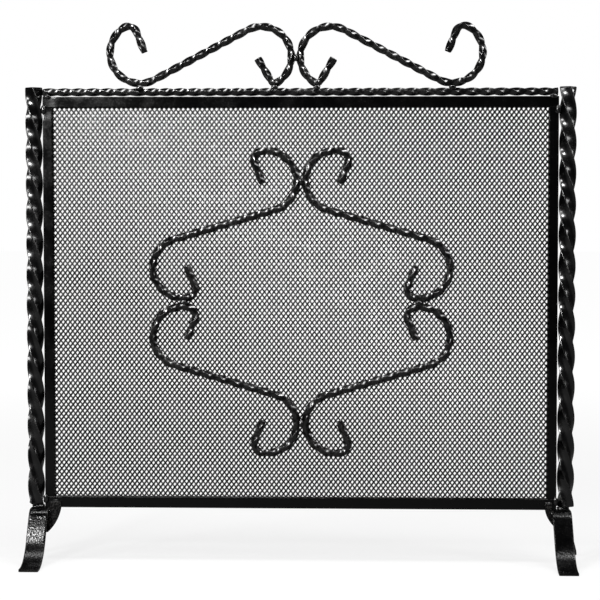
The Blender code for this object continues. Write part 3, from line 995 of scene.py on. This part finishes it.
@dataclass
class WireMesh(SubAssembly):
    """The woven panel: two families of slanting wires that pass over and under each other.

    Attributes:
        pitch_x: Distance between crossings in a row.
        pitch_z: Distance between crossings in a column.
        half_widths: Half a wire's width as seen from the front, for rising and for falling wires.
        half_depth: Half its depth.
        sway: How far a wire moves back and forth at a crossing.
        inset: How far the wires' ends stay inside the panel's box.
        parts: How many pieces each family is split into.
        edge: How exposed each of the four points about a crossing is, from 0 to 1.
    """

    pitch_x: float = 0.0063
    pitch_z: float = 0.00815
    half_widths: tuple[float, float] = (0.00116, 0.00094)
    half_depth: float = 0.00045
    sway: float = 0.00030
    inset: float = 0.0008
    parts: int = 2
    edge: tuple[float, ...] = (0.0, 1.0, 0.0, 1.0)

    def family(self, lean: int) -> tuple[np.ndarray, np.ndarray]:
        """Crossings of all wires that lean one way, and which of them lie inside the panel.

        Wire number i starts at the bottom, i pitches along. Its crossing number k is k half pitches
        further along, in the direction of the lean, and k half pitches up. Its depth swaps between
        front and back from each crossing to the next.

        Args:
            lean: 1 for wires that rise to the right, -1 to the left.

        Returns:
            Crossings with a row for each wire, and a mask of the same layout.
        """
        low, high = node_box("mesh_panel")
        low, high = low + self.inset, high - self.inset
        rows = int((high[2] - low[2]) / (self.pitch_z / 2))
        run = rows * self.pitch_x / 2
        first = -math.ceil(run / self.pitch_x) if lean > 0 else 0
        last = math.ceil((high[0] - low[0] + (0 if lean > 0 else run)) / self.pitch_x)
        wire = np.arange(first, last + 1)[:, None]
        cross = np.arange(rows + 1)[None, :]
        x = low[0] + self.pitch_x * wire + lean * self.pitch_x / 2 * cross
        z = low[2] + self.pitch_z / 2 * cross + 0.0 * wire
        over = np.where(cross % 2 == 0, 1.0, -1.0) + 0.0 * wire
        y = (low[1] + high[1]) / 2 + lean * self.sway * over
        inside = (x >= low[0]) & (x <= high[0])
        return np.stack([x, y + 0.0 * x, z], axis=-1), inside

    def wires(self, places: np.ndarray, inside: np.ndarray, lean: int) -> tuple[np.ndarray, list]:
        """Points and faces of wires: four points about each crossing, joined along the wire.

        Args:
            places: Crossings, a row for each wire.
            inside: Which crossings are used.
            lean: The way the wires lean.

        Returns:
            Points and faces, every wire closed at both ends.
        """
        half_width = self.half_widths[0] if lean > 0 else self.half_widths[1]
        along = np.array((lean * self.pitch_x, 0.0, self.pitch_z))
        along /= np.linalg.norm(along)
        across = np.cross(FRONT, along)
        ring = np.outer((1, 0, -1, 0), across * half_width)
        ring += np.outer((0, 1, 0, -1), FRONT * self.half_depth)
        points = places[:, :, None, :] + ring
        number = np.full(inside.shape, -1)
        number[inside] = np.arange(inside.sum())
        joined = inside[:, :-1] & inside[:, 1:]
        here, there = number[:, :-1][joined][:, None] * 4, number[:, 1:][joined][:, None] * 4
        corner = np.arange(4)
        after = (corner + 1) % 4
        quads = np.stack([here + corner, here + after, there + after, there + corner], axis=-1)
        padded = np.pad(inside, ((0, 0), (1, 1)))
        starts = number[inside & ~padded[:, :-2]] * 4
        ends = number[inside & ~padded[:, 2:]] * 4
        caps = np.concatenate([starts[:, None] + corner, ends[:, None] + corner])
        return points[inside].reshape(-1, 3), quads.reshape(-1, 4).tolist() + caps.tolist()

    def build(self) -> None:
        """Both families, each in a few pieces side by side."""
        for lean, word in ((1, "rising"), (-1, "falling")):
            places, inside = self.family(lean)
            long_enough = inside.sum(axis=1) > 1
            places, inside = places[long_enough], inside[long_enough]
            bounds = np.linspace(0, len(places), self.parts + 1).astype(int)
            for part, (start, end) in enumerate(zip(bounds[:-1], bounds[1:])):
                points, faces = self.wires(places[start:end], inside[start:end], lean)
                surface = (points, faces, np.tile(self.edge, len(points) // 4))
                name = f"mesh_wires_{word}_{part + 1}"
                self.add(name, surface, ("mesh_panel",), Slot.WIRE, ROUND_SHARP_DEGREES)


# ---------------------------------------------------------------- feet


@dataclass
class Legs(SubAssembly):
    """Flat-bar legs: flat under the post, round the shoulder, down the slope, round the flare to a pad.

    Attributes:
        thickness: Thickness of the bar.
        corner: Radius of its edges.
        top_half: Half the flat under the post.
        shoulder: Radius of the shoulder's middle line.
        slope_degrees: Slope of the straight below the level.
        pad: Length of the flat pad at the toe.
        front_splay: How far outwards a front toe is from the top of its leg.
        rear_splay: The same for a rear toe.
        wave_degrees: How much steeper the straight is in its middle than at its ends.
        wave_start: Where the wave starts, as a share of the straight.
        step_back: Length of bar over which the toe's end narrows.
        end_shrink: Thickness at both ends of the bar, as a share of its thickness.
        bend_count: Places on the shoulder.
        straight_count: Places on the straight.
        flare_count: Places on the flare.
        pad_count: Places on the pad, up to where the end narrows.
    """

    thickness: float = 0.004
    corner: float = 0.0009
    top_half: float = 0.008
    shoulder: float = 0.012
    slope_degrees: float = 70.0
    pad: float = 0.008
    front_splay: float = 0.0038
    rear_splay: float = 0.0213
    wave_degrees: float = 6.0
    wave_start: float = -0.24
    step_back: float = 0.0003
    end_shrink: float = 0.9
    bend_count: int = 12
    straight_count: int = 20
    flare_count: int = 18
    pad_count: int = 5

    def profile(self, start: float, reach: float, top: float) -> tuple[np.ndarray, ...]:
        """Middle line of a leg in the Y and Z plane.

        The shoulder and the flare are circular arcs. The straight's length and the flare's radius are
        what the reach and the drop leave for them.

        Args:
            start: Distance from the post's middle at which the bar starts.
            reach: Distance at which the toe ends.
            top: Height of the bar's upper face.

        Returns:
            Distance from the post's middle, height and slope, one value for each place.
        """
        slope = math.radians(self.slope_degrees)
        cos, sin = math.cos(slope), math.sin(slope)
        drop = top - self.thickness - self.shoulder * (1 - cos)
        run = reach - self.top_half - self.pad - self.shoulder * sin
        flare = (run * sin - drop * cos) / (1 - cos)
        straight = (drop * sin - run * (1 - cos)) / (1 - cos)
        middle = top - self.thickness / 2
        bend = np.linspace(0.0, slope, self.bend_count)
        y = [np.array((start, (start + self.top_half) / 2))]
        y.append(self.top_half + self.shoulder * np.sin(bend))
        z = [np.full(2, middle), middle - self.shoulder * (1 - np.cos(bend))]
        share = np.linspace(0.0, 1.0, self.straight_count)[1:]
        wave = math.radians(self.wave_degrees) / 2
        phase = 2 * math.pi * (share + self.wave_start)
        rest = math.sin(2 * math.pi * self.wave_start)
        out = straight * wave / (2 * math.pi) * (np.sin(phase) - rest)
        y.append(y[1][-1] + share * straight * cos + out * sin)
        z.append(z[1][-1] - share * straight * sin + out * cos)
        rise = np.linspace(slope, 0.0, self.flare_count)[1:]
        y.append(y[2][-1] + flare * (sin - np.sin(rise)))
        z.append(z[2][-1] - flare * (np.cos(rise) - cos))
        flat = np.linspace(reach - self.pad, reach - self.step_back, self.pad_count)[1:]
        y += [flat, np.array((reach,))]
        z.append(np.full(self.pad_count, self.thickness / 2))
        waved = slope - wave * np.cos(phase)
        tilt = [np.zeros(2), bend, waved, rise, np.zeros(self.pad_count)]
        return np.concatenate(y), np.concatenate(z), np.concatenate(tilt)

    def leg(self, node: str, side: Side, forward: int, splay: float) -> None:
        """One leg: a rounded rectangle carried along the profile, leaning outwards by the splay.

        Args:
            node: The node it stands for.
            side: The end of the screen that it is on.
            forward: -1 for a front leg, 1 for a rear one.
            splay: How far outwards the toe is from the top.
        """
        low, high = node_box(node)
        inner = high[0] if side is Side.LEFT else low[0]
        outer = low[0] if side is Side.LEFT else high[0]
        toe = splay * (1.0 - self.thickness / 2 / high[2])
        start_lean = splay * self.thickness / 2 / high[2]
        width = abs(outer - inner) - toe + start_lean
        centre = inner + side.value * (width / 2 - start_lean)
        start = -high[1] if forward < 0 else low[1]
        reach = -low[1] if forward < 0 else high[1]
        y, z, tilt = self.profile(start, reach, high[2])
        section = Section.rounded_box(width, self.thickness, self.corner, arc=4, flat=3)
        lean = splay * (1.0 - z / high[2])
        shrink = np.ones(len(y))
        shrink[[0, -1]] = self.end_shrink
        across = section.points[:, 0] * np.ones((len(y), 1))
        through = section.points[:, 1] * shrink[:, None]
        points = np.stack(
            [
                centre + side.value * lean[:, None] + across,
                forward * (y[:, None] + np.sin(tilt)[:, None] * through),
                z[:, None] + np.cos(tilt)[:, None] * through,
            ],
            axis=-1,
        ).reshape(-1, 3)
        faces = closed_loft(len(y), len(section.points))
        self.add(f"{node}_bar", (points, faces, np.tile(section.edge, len(y))), (node,))

    def build(self) -> None:
        """Four legs. The rear ones are narrower and splay further, so that the front ones hide them."""
        for side in Side:
            self.leg(f"front_leg_{side.word}", side, -1, self.front_splay)
            self.leg(f"rear_leg_{side.word}", side, 1, self.rear_splay)


@dataclass
class Gussets(SubAssembly):
    """Plates with a curved edge, in the corners between the bottom rail and the front legs.

    Attributes:
        radius: Radius of each plate's curved edge.
        lean_degrees: Angle from upright at which the curve starts.
        sweep_degrees: Turn of the curve.
        bevel: Width of the ground edges.
        leg_thickness: Thickness of the leg that the plate is tucked under.
        play: Play between the plate and the leg.
        curve_count: Places on the curve.
        edge: How exposed the plate's edges are, from 0 to 1.
        sharp_degrees: Faces that meet at more than this keep a sharp edge.
    """

    radius: dict[Side, float] = field(default_factory=lambda: {Side.LEFT: 0.059, Side.RIGHT: 0.037})
    lean_degrees: float = 10.0
    sweep_degrees: float = 37.0
    bevel: float = 0.0006
    leg_thickness: float = 0.004
    play: float = 0.0003
    curve_count: int = 24
    edge: float = 0.8
    sharp_degrees: float = 30.0

    def outline(self, side: Side) -> np.ndarray:
        """Corners of a plate as rows of X and Z.

        The curve's distance from its start is the radius times the difference of cosines inwards, and
        of sines downwards, between the lean and the angle reached.
        """
        low, high = node_box(f"gusset_{side.word}")
        leg_low, leg_high = node_box(f"front_leg_{side.word}")
        shoulder = node_box("frame_bottom_rail")[0][2]
        tip = high[0] if side is Side.LEFT else low[0]
        edge = leg_high[0] if side is Side.LEFT else leg_low[0]
        back = low[0] if side is Side.LEFT else high[0]
        under = leg_high[2] - self.leg_thickness - self.play
        lean = math.radians(self.lean_degrees)
        angle = lean + np.radians(np.linspace(0.0, self.sweep_degrees, self.curve_count))
        radius = self.radius[side]
        x = tip + side.value * radius * (math.cos(lean) - np.cos(angle))
        z = shoulder - radius * (np.sin(angle) - math.sin(lean))
        rows = [(edge - side.value * self.play, high[2]), (tip, high[2])]
        rows += list(zip(x, z))
        rows += [(back, z[-1]), (back, under), (edge - side.value * self.play, under)]
        return np.array(rows)

    def build(self) -> None:
        """Each outline at two depths, joined, with its edges bevelled."""
        for side in Side:
            node = f"gusset_{side.word}"
            low, high = node_box(node)
            rows = self.outline(side)
            points = np.concatenate([np.insert(rows, 1, depth, axis=1) for depth in (low[1], high[1])])
            surface = (points, closed_loft(2, len(rows)), np.full(len(points), self.edge))
            piece = self.add(f"{node}_plate", surface, (node,), sharp_degrees=self.sharp_degrees)
            bevel = piece.modifiers.new("ground_edges", "BEVEL")
            bevel.width = self.bevel
            bevel.segments = 2
            bevel.limit_method = "ANGLE"


# ---------------------------------------------------------------- welds


@dataclass
class Welds(SubAssembly):
    """Lumpy beads of filler on the joints.

    Attributes:
        lumps: How uneven a bead's surface is, as a share of its size.
        around: Points around a bead.
        rings: Rings from one pole to the other.
        square: Power of a bead's shape.
        foot_square: The same for the beads at the feet, which are squarer.
        seed_step: Difference between the seeds of two beads.
        edge: How exposed a bead is, from 0 to 1.
    """

    lumps: float = 0.10
    around: int = 28
    rings: int = 16
    square: float = 0.9
    foot_square: float = 0.55
    seed_step: float = 1.9
    edge: float = 0.35

    def bead(self, node: str, seed: float, square: float) -> None:
        """A bead in a node's box.

        In spherical angles a point lies at cosine and sine of its two angles, raised to a power below
        one for a squarer bead, times half the box's size. Its distance from the middle is then made
        uneven by a few waves over both angles.

        Args:
            node: The node it stands for.
            seed: Shifts the waves.
            square: The power.
        """
        low, high = node_box(node)
        half = (high - low) / 2
        across = np.linspace(0.0, 2 * math.pi, self.around, endpoint=False)[None, :]
        down = np.linspace(0.0, math.pi, self.rings + 2)[1:-1, None]
        x, y = np.sin(down) * np.cos(across), np.sin(down) * np.sin(across)
        shape = (x, y, np.cos(down) + 0 * across)
        unit = np.stack([np.sign(part) * np.abs(part) ** square for part in shape], axis=-1)
        waves = sum(
            height * np.sin(turns * across + drops * down + shift * seed)
            for height, turns, drops, shift in BEAD_WAVES
        )
        waves = waves / sum(height for height, _, _, _ in BEAD_WAVES)
        size = 1.0 - self.lumps + self.lumps * np.sin(down) * waves
        points = (low + high) / 2 + unit * size[..., None] * half
        poles = (low + high) / 2 + np.array(((0, 0, 1), (0, 0, -1))) * half * (1.0 - self.lumps)
        points = np.concatenate([points.reshape(-1, 3), poles])
        faces = ring_quads(self.rings, self.around).tolist()
        first = np.arange(self.around)
        after = (first + 1) % self.around
        last = (self.rings - 1) * self.around
        top = np.full(self.around, self.rings * self.around)
        faces += np.stack([first, after, top], axis=1).tolist()
        faces += np.stack([last + after, last + first, top + 1], axis=1).tolist()
        surface = (points, faces, np.full(len(points), self.edge))
        self.add(f"{node}_bead", surface, (node,), Slot.WELD, ROUND_SHARP_DEGREES)

    def build(self) -> None:
        """A bead for every node whose name says that it is a weld."""
        names = sorted(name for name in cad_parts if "weld" in name)
        for number, node in enumerate(names):
            square = self.foot_square if node.startswith("foot_weld") else self.square
            self.bead(node, self.seed_step * number, square)


# ---------------------------------------------------------------- studio


@dataclass(frozen=True)
class SoftLight:
    """A rectangular light that points at a place on the screen.

    Attributes:
        name: The light's name.
        place: Where it stands.
        aim: The place that it points at.
        size: Its width and height.
        power: Its power in watts.
    """

    name: str
    place: tuple[float, float, float]
    aim: tuple[float, float, float]
    size: tuple[float, float]
    power: float

    def add(self) -> None:
        """Puts the light into the scene."""
        data = bpy.data.lights.new(self.name, "AREA")
        data.shape = "RECTANGLE"
        data.size, data.size_y = self.size
        data.energy = self.power
        lamp = bpy.data.objects.new(self.name, data)
        lamp.location = self.place
        way = Vector(self.aim) - Vector(self.place)
        lamp.rotation_euler = way.to_track_quat("-Z", "Y").to_euler()
        bpy.context.scene.collection.objects.link(lamp)


@dataclass
class Studio:
    """Pale floor, pale surroundings, soft lights and the camera.

    Attributes:
        lights: The soft lights.
        floor_size: Half the floor's width.
        target: The place in the middle of the view.
        distance: Distance from there to the camera.
        down_degrees: How far the camera looks down.
        aside_degrees: How far it stands to the right.
        lens: Focal length in millimetres on the standard sensor.
        floor_dim: Grey of the floor in reflections.
        floor_pale: Grey of the floor as the camera sees it.
        floor_roughness: Roughness of the floor.
        glow_share: Share of its own glow in what the camera sees of the floor.
        glow_reach: Distances from the screen's middle between which the glow grows.
        glow: Strength of the glow at those distances.
        room: Strength of the dim room that lights the screen from all around.
        far: Distance beyond which the camera sees nothing.
    """

    lights: tuple[SoftLight, ...] = (
        SoftLight("key", (-0.95, -2.05, 1.05), (-0.3, 0.0, 0.2), (0.26, 0.24), 34.0),
        SoftLight("left", (-1.6, -1.3, 1.35), (0.0, 0.0, 0.4), (0.3, 0.6), 13.0),
        SoftLight("right", (2.1, -1.1, 1.45), (0.0, 0.0, 0.35), (0.45, 1.2), 18.0),
        SoftLight("overhead", (-0.40, -0.50, 2.3), (-0.2, 0.0, 0.4), (0.8, 0.5), 24.0),
        SoftLight("high_right", (0.95, -0.75, 2.3), (0.1, 0.0, 0.4), (0.7, 0.5), 28.0),
        SoftLight("rear_left", (-1.9, 0.9, 0.55), (-0.3, 0.0, 0.4), (0.4, 0.9), 8.0),
        SoftLight("rear_right", (1.8, 1.5, 1.3), (0.2, 0.0, 0.4), (0.4, 1.0), 6.0),
    )
    floor_size: float = 14.0
    target: tuple[float, float, float] = (0.0005, 0.0, 0.3496)
    distance: float = 2.6
    down_degrees: float = 3.109
    aside_degrees: float = 2.148
    lens: float = 118.2
    floor_dim: float = 0.12
    floor_pale: float = 0.85
    floor_roughness: float = 0.9
    glow_share: float = 0.8
    glow_reach: tuple[float, float] = (0.5, 3.0)
    glow: tuple[float, float] = (0.98, 1.22)
    room: float = 0.03
    far: float = 60.0

    def floor(self) -> None:
        """A pale floor with soft shadows. It is nearly white to the camera, and dim in reflections."""
        size = self.floor_size
        mesh = bpy.data.meshes.new("studio_floor")
        corners = [(-size, -size, 0.0), (size, -size, 0.0), (size, size, 0.0), (-size, size, 0.0)]
        mesh.from_pydata(corners, [], [(0, 1, 2, 3)])
        floor = bpy.data.objects.new("studio_floor", mesh)
        bpy.context.scene.collection.objects.link(floor)
        material = bpy.data.materials.new("pale_floor")
        material.use_nodes = True
        sheet = NodeSheet(material.node_tree)
        shader = material.node_tree.nodes["Principled BSDF"]
        shader.inputs["Roughness"].default_value = self.floor_roughness
        glow = sheet.add("ShaderNodeEmission")
        place = sheet.add("ShaderNodeTexCoord").outputs["Object"]
        away = sheet.add("ShaderNodeVectorMath", operation="LENGTH")
        sheet.wire(place, away.inputs[0])
        strength = sheet.spread(away.outputs["Value"], *self.glow_reach, *self.glow)
        sheet.wire(strength, glow.inputs["Strength"])
        seen = sheet.add("ShaderNodeLightPath").outputs["Is Camera Ray"]
        colour = sheet.blend(seen, grey(self.floor_dim), grey(self.floor_pale))
        sheet.wire(colour, shader.inputs["Base Color"])
        share = sheet.maths("MULTIPLY", seen, self.glow_share)
        mixed = sheet.mix(share, shader.outputs["BSDF"], glow.outputs["Emission"])
        sheet.wire(mixed, material.node_tree.nodes["Material Output"].inputs["Surface"])
        mesh.materials.append(material)

    def surroundings(self) -> None:
        """White surroundings to the camera, and a dim grey room to everything else."""
        world = bpy.data.worlds.new("studio")
        world.use_nodes = True
        bpy.context.scene.world = world
        sheet = NodeSheet(world.node_tree)
        tree = world.node_tree.nodes
        room = tree["Background"]
        white = sheet.add("ShaderNodeBackground")
        for node, strength in ((room, self.room), (white, 1.0)):
            node.inputs["Color"].default_value = grey(1.0)
            node.inputs["Strength"].default_value = strength
        seen = sheet.add("ShaderNodeLightPath").outputs["Is Camera Ray"]
        mixed = sheet.mix(seen, room.outputs["Background"], white.outputs["Background"])
        sheet.wire(mixed, tree["World Output"].inputs["Surface"])

    def camera(self) -> None:
        """The camera, a little above and to the right of the screen's middle."""
        down, aside = math.radians(self.down_degrees), math.radians(self.aside_degrees)
        level = math.cos(down)
        away = Vector((math.sin(aside) * level, -math.cos(aside) * level, math.sin(down)))
        data = bpy.data.cameras.new("camera")
        data.lens = self.lens
        data.clip_end = self.far
        camera = bpy.data.objects.new("camera", data)
        camera.location = Vector(self.target) + self.distance * away
        camera.rotation_euler = (-away).to_track_quat("-Z", "Y").to_euler()
        bpy.context.scene.collection.objects.link(camera)
        bpy.context.scene.camera = camera

    def build(self) -> None:
        """Everything about the studio."""
        self.floor()
        self.surroundings()
        self.camera()
        for light in self.lights:
            light.add()
        bpy.context.scene.view_settings.view_transform = "Standard"


def main() -> None:
    """Builds each part of the screen in order, dresses it and reports its pieces."""
    logging.basicConfig(level=logging.INFO, format="%(name)s: %(message)s")
    Studio().build()
    finishes = Finishes()
    stock = ThinBar()
    work = (
        (Posts(), finishes.posts),
        (FlatBars(), finishes.flats),
        (TopRod(stock), finishes.rods),
        (Crest(stock), finishes.rods),
        (Medallion(stock), finishes.rods),
        (WireMesh(), finishes.wire),
        (Legs(), finishes.feet),
        (Gussets(), finishes.feet),
        (Welds(), finishes.welds),
    )
    for part, paint in work:
        part.build()
        part.dress(paint)
        for piece in part.pieces:
            log.info("%s: %s, %d faces", type(part).__name__, piece.name, len(piece.data.polygons))


if __name__ == "__main__":
    main()
